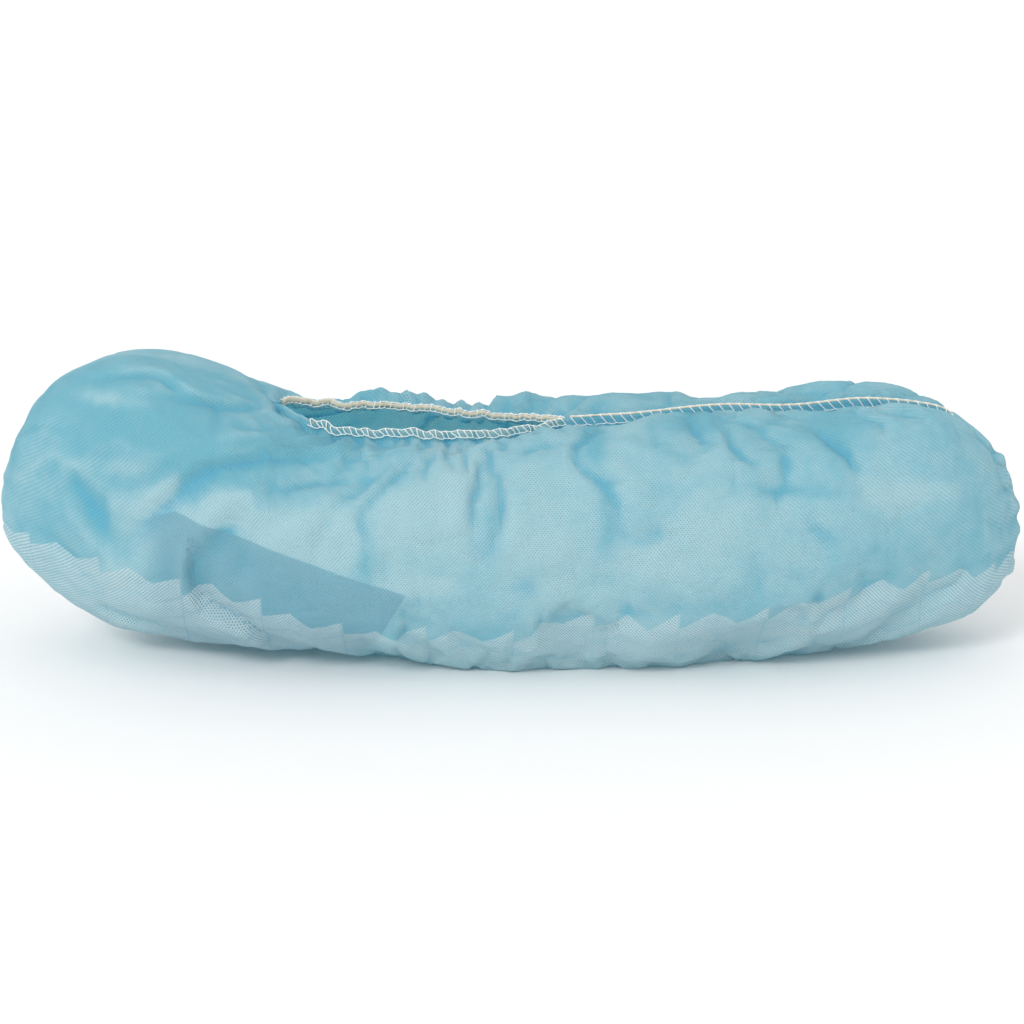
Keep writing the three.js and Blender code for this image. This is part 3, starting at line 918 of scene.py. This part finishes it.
def thread_finish(name, colour, colour_painted_shade):
    """Spun thread: fine twist lines and a little painted shade between the strands."""
    f = Finish(name)
    point = f.node("ShaderNodeTexCoord", {}, output="Object")
    strands = f.node("ShaderNodeTexNoise", {}, point, Scale=2600.0, Detail=2.0)
    clouds = f.node("ShaderNodeTexNoise", {}, point, Scale=240.0, Detail=2.0)
    # Painted shade between the strands, laid on by noise.
    shade = (strands - 0.5) * 0.7 + (clouds - 0.5) * 0.8 + 0.35
    colour = f.mix(shade.step(0.0, 1.0), tint(colour), tint(colour_painted_shade))
    bump = f.node("ShaderNodeBump", {}, Strength=0.5, Distance=0.0002, Height=strands)
    shader = f.node("ShaderNodeBsdfPrincipled", {}, Base_Color=colour, Roughness=0.65, Normal=bump)
    shader.socket.node.inputs["Sheen Weight"].default_value = 0.2
    return f.end(shader)


def floor_finish(colour):
    """Plain matt floor."""
    f = Finish("studio_floor")
    shader = f.node("ShaderNodeBsdfPrincipled", {}, Base_Color=tint(colour), Roughness=0.9)
    return f.end(shader)


# ---- settings -------------------------------------------------------------

class OvershoeSizes(bpy.types.PropertyGroup):
    """Sizes of the cover's details."""

    thickness: FloatProperty(
        name="Cloth thickness", description="How thick the nonwoven cloth is",
        default=0.45 * MM, unit="LENGTH")
    dot_pitch: FloatProperty(
        name="Dot pitch", description="Distance between the bond dots of the cloth",
        default=1.2 * MM, unit="LENGTH")
    print_pitch: FloatProperty(
        name="Print block", description="Length of one block of the non-slip print",
        default=32.0 * MM, unit="LENGTH")
    print_rise: FloatProperty(
        name="Print rise", description="How high the teeth of the print rise",
        default=7.5 * MM, unit="LENGTH")
    print_row: FloatProperty(
        name="Print row", description="Distance between two rows of the print",
        default=11.5 * MM, unit="LENGTH")
    print_half_width: FloatProperty(
        name="Print half width", description="How far the print reaches from the middle of the sole",
        default=64.0 * MM, unit="LENGTH")
    seam_pitch: FloatProperty(
        name="Seam stitch", description="Distance between two stitches of the toe seam",
        default=3.9 * MM, unit="LENGTH")
    rim_pitch: FloatProperty(
        name="Rim stitch", description="Distance between two stitches of the gathered rim",
        default=2.5 * MM, unit="LENGTH")
    thread_radius: FloatProperty(
        name="Thread radius", description="Half the thickness of the overlock thread",
        default=0.19 * MM, unit="LENGTH")
    elastic_radius: FloatProperty(
        name="Elastic radius", description="Half the thickness of the elastic",
        default=0.7 * MM, unit="LENGTH")


class OvershoeColours(bpy.types.PropertyGroup):
    """Colours of the cover's cloth, print and thread."""

    cloth: FloatVectorProperty(
        name="Cloth", description="Main colour of the cloth", subtype="COLOR", size=3,
        default=(0.285, 0.625, 0.725))
    # Painted light: a paler copy of the cloth for the inside, which lies in shade.
    cloth_inside_painted_light: FloatVectorProperty(
        name="Cloth, inside", description="Main colour of the cloth's inside", subtype="COLOR", size=3,
        default=(0.68, 0.97, 0.98))
    # The pale end of the cloth's random mottling, and the colour of its painted highlights.
    cloth_pale_and_painted_light: FloatVectorProperty(
        name="Cloth, light", description="Where the cloth is thin or pale", subtype="COLOR", size=3,
        default=(0.62, 0.83, 0.87))
    # Painted shade: the deeper blue laid into creases and along the doubled seam plies.
    cloth_crease_shade: FloatVectorProperty(
        name="Cloth, folds", description="Where the cloth doubles in a fold", subtype="COLOR", size=3,
        default=(0.20, 0.64, 0.82))
    # Painted shade where the cloth's turned-in end lies behind.
    cloth_backed_shade: FloatVectorProperty(
        name="Cloth, backed", description="Where something darker lies behind", subtype="COLOR", size=3,
        default=(0.28, 0.56, 0.66))
    cloth_dot: FloatVectorProperty(
        name="Bond dots", description="The pressed dots that bond the fibres", subtype="COLOR", size=3,
        default=(0.14, 0.45, 0.56))
    grip_print: FloatVectorProperty(
        name="Print", description="The white non-slip print", subtype="COLOR", size=3,
        default=(0.88, 0.94, 0.94))
    thread: FloatVectorProperty(
        name="Thread", description="The overlock thread", subtype="COLOR", size=3,
        default=(0.90, 0.90, 0.86))
    # Painted shade between the thread's strands.
    thread_painted_shade: FloatVectorProperty(
        name="Thread, shaded", description="Between the thread's strands", subtype="COLOR", size=3,
        default=(0.72, 0.74, 0.70))
    elastic: FloatVectorProperty(
        name="Elastic", description="The elastic in the rim", subtype="COLOR", size=3,
        default=(0.72, 0.65, 0.51))
    # Painted shade in the elastic's grooves.
    elastic_painted_shade: FloatVectorProperty(
        name="Elastic, shaded", description="The elastic's grooves", subtype="COLOR", size=3,
        default=(0.50, 0.43, 0.32))


class OvershoeStudio(bpy.types.PropertyGroup):
    """The camera, the lights and the floor."""

    elevation: FloatProperty(
        name="Camera elevation", description="Angle of the camera above the floor",
        default=math.radians(16), subtype="ANGLE")
    distance: FloatProperty(
        name="Camera distance", description="From the camera to the middle of the cover",
        default=1100 * MM, unit="LENGTH")
    target_height: FloatProperty(
        name="Target height", description="Height that the camera looks at",
        default=54 * MM, unit="LENGTH")
    lens: FloatProperty(name="Lens", description="Focal length in millimetres", default=97.8)
    air: FloatProperty(name="Surrounding light", description="Light from all around", default=0.94)
    key: FloatProperty(name="Key light", description="Light from the upper left", default=1.15)
    floor: FloatVectorProperty(
        name="Floor", description="Colour of the floor", subtype="COLOR", size=3,
        default=(0.9, 0.9, 0.9))


# ---- pieces ---------------------------------------------------------------

def set_attribute(mesh, name, values):
    """Stores a number at each of a mesh's points."""
    attribute = mesh.attributes.new(name, "FLOAT", "POINT")
    attribute.data.foreach_set("value", np.asarray(values, np.float32).ravel())


def bag_shell(form, thickness):
    """The bag's skin, lining and cut edges: points, faces, their places on both maps, which
    finish each face has, and which of the two grids' points are used."""
    outer = form["points"].reshape(-1, 3)
    inner = outer - form["normals"].reshape(-1, 3) * thickness
    numbers = vertex_numbers(form["is_open"], GIRTH_CELLS)
    count = len(outer)

    corner_uv = np.concatenate([form["cloth_map"], form["print_map"]], -1)
    skin = grid_faces(numbers).reshape(-1, 4)
    skin_uv = grid_faces(corner_uv).reshape(-1, 4, 4)
    opens = form["is_open"]
    rims, rim_uv = [], []
    for column, order in ((0, 1), (GIRTH_CELLS, -1)):
        line, edge_uv = numbers[:, column], corner_uv[:, column]
        for i in np.nonzero(opens[:-1] | opens[1:])[0]:
            a, b = line[i], line[i + 1]
            rims.append([a, b, b + count, a + count][::order])
            rim_uv.append([edge_uv[i], edge_uv[i + 1], edge_uv[i + 1], edge_uv[i]][::order])
    faces = np.concatenate([skin, skin[:, ::-1] + count, np.array(rims)])
    face_uv = np.concatenate([skin_uv, skin_uv[:, ::-1], np.array(rim_uv)])
    sides = np.repeat([0, 1, 0], [len(skin), len(skin), len(rims)])

    used = np.unique(faces)
    lookup = np.zeros(2 * count, int)
    lookup[used] = np.arange(len(used))
    return np.concatenate([outer, inner])[used], lookup[faces], face_uv, sides, used


class OVERSHOE_OT_bag(bpy.types.Operator):
    """Make the cloth bag, with its folds and gathers"""

    bl_idname = "overshoe.bag"
    bl_label = "Cloth bag"

    def execute(self, context):
        sizes, colours = context.scene.overshoe_sizes, context.scene.overshoe_colours
        form = cover_form()
        points, faces, face_uv, sides, used = bag_shell(form, sizes.thickness / MM)
        outside = cloth_finish("nonwoven_outside", colours, sizes, outside=True)
        inside = cloth_finish("nonwoven_inside", colours, sizes, outside=False)
        bag = add_mesh("cloth_bag", points, faces.tolist(), [outside, inside])
        mesh = bag.data
        mesh.polygons.foreach_set("material_index", sides)
        for name, places in (("cloth", face_uv[..., :2]), ("print", face_uv[..., 2:])):
            layer = mesh.uv_layers.new(name=name)
            layer.data.foreach_set("uv", (places * MM).astype(np.float32).ravel())
        # The painted crease shade and the painted highlight and shade patches, stored at the points.
        for name, values in (("crease_shade", form["crease_shade"]), ("painted_light_and_shade", painted_light_and_shade_patches(form))):
            set_attribute(mesh, name, np.tile(values.reshape(-1), 2)[used])
        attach(bag, "root")
        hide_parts("cover_bag")
        return {"FINISHED"}


def painted_light_and_shade_patches(form):
    """Painted highlights where the near side is paler, and painted shade where it is deeper blue."""
    points = form["points"]
    near = smooth(-points[..., 1], -4.0, 4.0)
    total = np.zeros(points.shape[:-1])
    for x, z, length, height, strength in PAINTED_LIGHT_AND_SHADE_PLACES:
        spot = ((points[..., 0] - x) / length) ** 2 + ((points[..., 2] - z) / height) ** 2
        total += strength * np.exp(-spot) * near
    return total


def edge_frame(points):
    """The directions down the cloth and out of it at each point of a cloth edge."""
    along = np.gradient(points[:, 0], axis=0)
    along /= np.linalg.norm(along, axis=1, keepdims=True)
    down = points[:, EDGE_COLUMNS] - points[:, 0]
    down -= along * np.einsum("nk,nk->n", down, along)[:, None]
    down /= np.linalg.norm(down, axis=1, keepdims=True)
    return down, np.cross(down, along)


def sample_rows(rows, at):
    """Rows of a table at fractional row numbers."""
    low = np.clip(np.floor(at).astype(int), 0, len(rows) - 2)
    share = (at - low)[:, None]
    return rows[low] * (1 - share) + rows[low + 1] * share


# One stitch of each thread, as (part of the pitch, depth below the edge, side).
LOOPER = [
    (0.00, -0.45, 0.2), (0.05, -0.1, 1.0), (0.22, 0.8, 1.35), (0.45, 1.8, 1.4), (0.60, 2.7, 1.3),
    (0.66, 3.1, 0.0), (0.72, 2.7, -1.2), (0.80, 1.8, -1.35), (0.88, 0.8, -1.35), (0.96, -0.2, -1.0),
]
LOWER_LINE = [(0.00, 3.1, 1.3), (0.30, 3.15, 1.2), (0.55, 2.95, 1.3), (0.66, 2.7, 1.7), (0.80, 2.9, 1.8)]
UPPER_LINE = [(0.00, -0.5, -0.4), (0.30, -0.35, -0.9), (0.60, -0.2, -1.0), (0.85, -0.4, -0.6)]
LOOPER_DEPTH = 3.1
RIM_STITCH_DEPTH = 2.3
SEAM_STITCH_DEPTH = 3.2
ELASTIC_DEPTH = 0.75  # the elastic's middle, below the rim's edge


def overlock(edge, down, out, pitch, depth, radius, ply, seed):
    """Threads of an overlock stitch: one winds round the edge, two lines run along each face."""
    walked = lengths(edge, 0)
    stitches = max(int(round(walked[-1] / pitch)), 2)
    pitch = walked[-1] / stitches
    parts = []
    lines = ((LOOPER, 1, 1.0), (LOWER_LINE, 1, 0.9), (LOWER_LINE, -1, 0.9), (UPPER_LINE, 1, 0.9))
    for number, (pattern, side, size) in enumerate(lines):
        places, depths, lifts = [], [], []
        for stitch in range(stitches):
            jolt = [noise.noise(Vector((stitch * 0.73, seed + k, number))) for k in range(3)]
            for part, deep, raised in pattern:
                places.append((stitch + part * (1 + 0.2 * jolt[0]) + 0.2 * jolt[1]) * pitch)
                depths.append(deep / LOOPER_DEPTH * depth * (1 + 0.12 * jolt[2]))
                lifts.append(side * raised * (ply + radius * 0.8) / 1.3 * (1 + 0.25 * jolt[1]))
        places = np.clip(np.maximum.accumulate(places), 0, walked[-1])
        at = np.interp(places, walked, np.arange(len(walked)))
        line = sample_rows(edge, at) + sample_rows(down, at) * np.array(depths)[:, None]
        line += sample_rows(out, at) * np.array(lifts)[:, None]
        keep = np.concatenate([[True], np.linalg.norm(np.diff(line, axis=0), axis=1) > 0.03])
        parts.append(tube(round_off(line[keep]), radius * size, 8, False))
    return parts


def round_off(line):
    """Rounds a thread's corners."""
    quarter = 0.75 * line[:-1] + 0.25 * line[1:]
    far = 0.25 * line[:-1] + 0.75 * line[1:]
    return np.concatenate([line[:1], np.stack([quarter, far], 1).reshape(-1, 3), line[-1:]])


def elastic_line(edge, down, out, depth, pitch):
    """The elastic's own line, a little wavy, along the edge."""
    walked = lengths(edge, 0)
    sway = 0.15 * np.sin(walked * 2 * np.pi / pitch)[:, None]
    rise = 0.12 * np.cos(walked * 2 * np.pi / pitch + 0.8)[:, None]
    return edge + down * (depth + rise) + out * sway


class OVERSHOE_OT_rim(bpy.types.Operator):
    """Make the elastic and the overlock thread round the foot opening"""

    bl_idname = "overshoe.rim"
    bl_label = "Elastic rim"

    def execute(self, context):
        sizes, colours = context.scene.overshoe_sizes, context.scene.overshoe_colours
        form = cover_form()
        stations = form["stations"]
        radius, pitch = sizes.thread_radius / MM, sizes.rim_pitch / MM
        threads, elastics = [], []
        for side in (NEAR, FAR):
            back = MOUTH_BACK + (TUCKED if side == NEAR else 2)
            points = form["points"][(stations > back) & (stations < MOUTH_FRONT + 1)]
            points = points if side == NEAR else points[:, ::-1]
            down, out = edge_frame(points)
            out = out if side == NEAR else -out
            edge = points[:, 0]
            ply = sizes.thickness / MM / 2 + 0.35
            threads += overlock(edge, down, out, pitch, RIM_STITCH_DEPTH, radius * 1.2, ply, side)
            line = elastic_line(edge, down, out, ELASTIC_DEPTH, pitch * 2) - out * (ply + 0.1)
            bunched = 1 + 0.9 * np.exp((MOUTH_BACK - edge[:, :1]) / 12)
            elastics.append(tube(line, sizes.elastic_radius / MM, 12, False, down * bunched))
        finish = thread_finish("overlock_thread", colours.thread, colours.thread_painted_shade)
        stitched = add_mesh("rim_thread", *join_parts(threads), [finish])
        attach(stitched, "root")
        finish = thread_finish("rim_elastic", colours.elastic, colours.elastic_painted_shade)
        elastic = add_mesh("rim_elastic", *join_parts(elastics), [finish])
        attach(elastic, "root")
        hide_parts("elastic_rim")
        return {"FINISHED"}


class OVERSHOE_OT_seam(bpy.types.Operator):
    """Make the overlocked seam along the top of the toe"""

    bl_idname = "overshoe.seam"
    bl_label = "Toe seam"

    def execute(self, context):
        sizes, colours = context.scene.overshoe_sizes, context.scene.overshoe_colours
        form = cover_form()
        stations = form["stations"]
        rows = (stations > MOUTH_FRONT) & (stations < SEAM_FRONT - 1)
        near, far = form["points"][rows], form["points"][rows][:, ::-1]
        points = (near + far) / 2
        down, out = edge_frame(points)
        edge = points[:, 0]
        ply = np.linalg.norm(near[:, 0] - far[:, 0], axis=1).mean() / 2 + 0.1
        radius, pitch = sizes.thread_radius / MM, sizes.seam_pitch / MM
        threads = overlock(edge, down, out, pitch, SEAM_STITCH_DEPTH, radius, ply, 3)
        line = elastic_line(edge, down, out, -0.1, pitch)
        finish = thread_finish("seam_cord", colours.elastic, colours.elastic_painted_shade)
        cord = add_mesh("toe_seam_cord", *tube(line, radius * 2.0, 10, False), [finish])
        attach(cord, "root")
        finish = thread_finish("seam_thread", colours.thread, colours.thread_painted_shade)
        seam = add_mesh("toe_seam_thread", *join_parts(threads), [finish])
        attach(seam, "root")
        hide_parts("toe_seam")
        return {"FINISHED"}


# ---- stage ----------------------------------------------------------------

FLOOR_HALF = 6000.0  # half the floor's side, in millimetres
KEY_PLACE = (-0.55, -1.0, 0.85)  # where the key light comes from
KEY_SOFTNESS = 18  # in degrees


def sun_light(name, place, strength, softness):
    """A soft light from far away that points at the cover."""
    light = bpy.data.lights.new(name, "SUN")
    light.energy = strength
    light.angle = math.radians(softness)
    lamp = bpy.data.objects.new(name, light)
    lamp.rotation_euler = (-Vector(place)).to_track_quat("-Z", "Y").to_euler()
    bpy.context.scene.collection.objects.link(lamp)


class OVERSHOE_OT_stage(bpy.types.Operator):
    """Set up the floor, the soft lights and the camera"""

    bl_idname = "overshoe.stage"
    bl_label = "Studio"

    def execute(self, context):
        scene, studio = context.scene, context.scene.overshoe_studio
        corners = np.array([(-1, -1, 0), (1, -1, 0), (1, 1, 0), (-1, 1, 0)]) * FLOOR_HALF
        floor = add_mesh("floor", corners, [(0, 1, 2, 3)], [floor_finish(studio.floor)], False)

        world = bpy.data.worlds.new("studio_air")
        world.use_nodes = True
        world.node_tree.nodes["Background"].inputs["Color"].default_value = (1, 1, 1, 1)
        world.node_tree.nodes["Background"].inputs["Strength"].default_value = studio.air
        scene.world = world
        target = Vector((0, 0, studio.target_height))
        sun_light("key", KEY_PLACE, studio.key, KEY_SOFTNESS)
        scene.view_settings.view_transform = "Standard"

        camera = bpy.data.cameras.new("camera")
        camera.lens = studio.lens
        camera.sensor_width = 36
        camera.clip_end = 50
        eye = bpy.data.objects.new("camera", camera)
        back = Vector((0, -math.cos(studio.elevation), math.sin(studio.elevation)))
        eye.location = target + back * studio.distance
        eye.rotation_euler = (target - eye.location).to_track_quat("-Z", "Y").to_euler()
        scene.collection.objects.link(eye)
        scene.camera = eye
        return {"FINISHED"}


class OVERSHOE_PT_panel(bpy.types.Panel):
    """Lists the pieces of the overshoe"""

    bl_label = "Overshoe"
    bl_idname = "OVERSHOE_PT_panel"
    bl_space_type = "VIEW_3D"
    bl_region_type = "UI"
    bl_category = "Overshoe"

    def draw(self, context):
        layout = self.layout
        for piece in PIECES:
            layout.operator(piece.bl_idname)
        scene = context.scene
        for group in (scene.overshoe_sizes, scene.overshoe_colours, scene.overshoe_studio):
            box = layout.box()
            for name in group.__annotations__:
                box.prop(group, name)


PIECES = (OVERSHOE_OT_stage, OVERSHOE_OT_bag, OVERSHOE_OT_rim, OVERSHOE_OT_seam)
CLASSES = (OvershoeSizes, OvershoeColours, OvershoeStudio, *PIECES, OVERSHOE_PT_panel)


def register():
    for cls in CLASSES:
        bpy.utils.register_class(cls)
    bpy.types.Scene.overshoe_sizes = PointerProperty(type=OvershoeSizes)
    bpy.types.Scene.overshoe_colours = PointerProperty(type=OvershoeColours)
    bpy.types.Scene.overshoe_studio = PointerProperty(type=OvershoeStudio)


def unregister():
    del bpy.types.Scene.overshoe_studio
    del bpy.types.Scene.overshoe_colours
    del bpy.types.Scene.overshoe_sizes
    for cls in reversed(CLASSES):
        bpy.utils.unregister_class(cls)


def main():
    register()
    bpy.ops.overshoe.stage()
    bpy.ops.overshoe.bag()
    bpy.ops.overshoe.rim()
    bpy.ops.overshoe.seam()
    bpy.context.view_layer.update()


if __name__ == "__main__":
    main()
